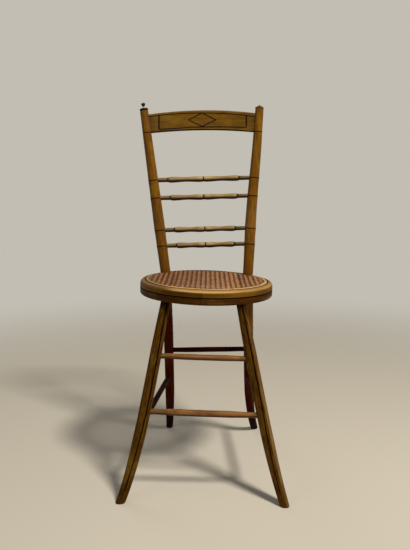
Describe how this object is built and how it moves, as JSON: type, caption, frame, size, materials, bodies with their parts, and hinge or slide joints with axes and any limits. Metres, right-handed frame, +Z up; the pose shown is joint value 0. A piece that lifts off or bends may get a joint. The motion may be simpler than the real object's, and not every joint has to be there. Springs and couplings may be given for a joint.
{
  "type": "high chair",
  "caption": "Child's tall side chair with a round cane seat, splayed sabre legs, rungs and footrest, and a raked back of turned posts, bamboo-style rods and a bowed crest rail.",
  "frame": {"origin": "on the floor below the middle of the round seat, which is the middle of the box round the four feet to about 1 mm", "axes": "+Z up, the chair faces -Y and its back is at +Y, +X to the right as seen from the front"},
  "size_m": [0.4133, 0.5206, 0.9687],
  "materials": {
    "ochre_paint": "aged ochre paint over wood, satin",
    "bamboo_paint": "pale ochre paint with dark nodes, satin",
    "leg_paint": "olive brown paint, worn, satin",
    "dark_wood": "dark stained wood, satin",
    "worn_wood": "wood worn bare by feet, satin",
    "cane": "woven rattan cane, aged, satin"
  },
  "bodies": {
    "root": {"seat_rail_front_left": "ochre_paint", "seat_rail_front_right": "ochre_paint", "seat_rail_rear_left": "ochre_paint", "seat_rail_rear_right": "ochre_paint", "seat_dowels": "worn_wood", "cane_panel": "cane", "cane_binder": "cane", "left_post": "ochre_paint", "right_post": "ochre_paint", "crest_rail": "ochre_paint", "top_rod": "bamboo_paint", "upper_rod": "bamboo_paint", "lower_rod": "bamboo_paint", "bottom_rod": "bamboo_paint", "left_finial": "dark_wood", "right_finial_stub": "ochre_paint", "front_left_leg": "leg_paint", "front_right_leg": "leg_paint", "rear_left_leg": "dark_wood", "rear_right_leg": "dark_wood", "front_upper_rung": "worn_wood", "front_lower_rung": "worn_wood", "rear_rung": "dark_wood", "left_rung": "dark_wood", "right_rung": "dark_wood"}
  },
  "joints": []
}
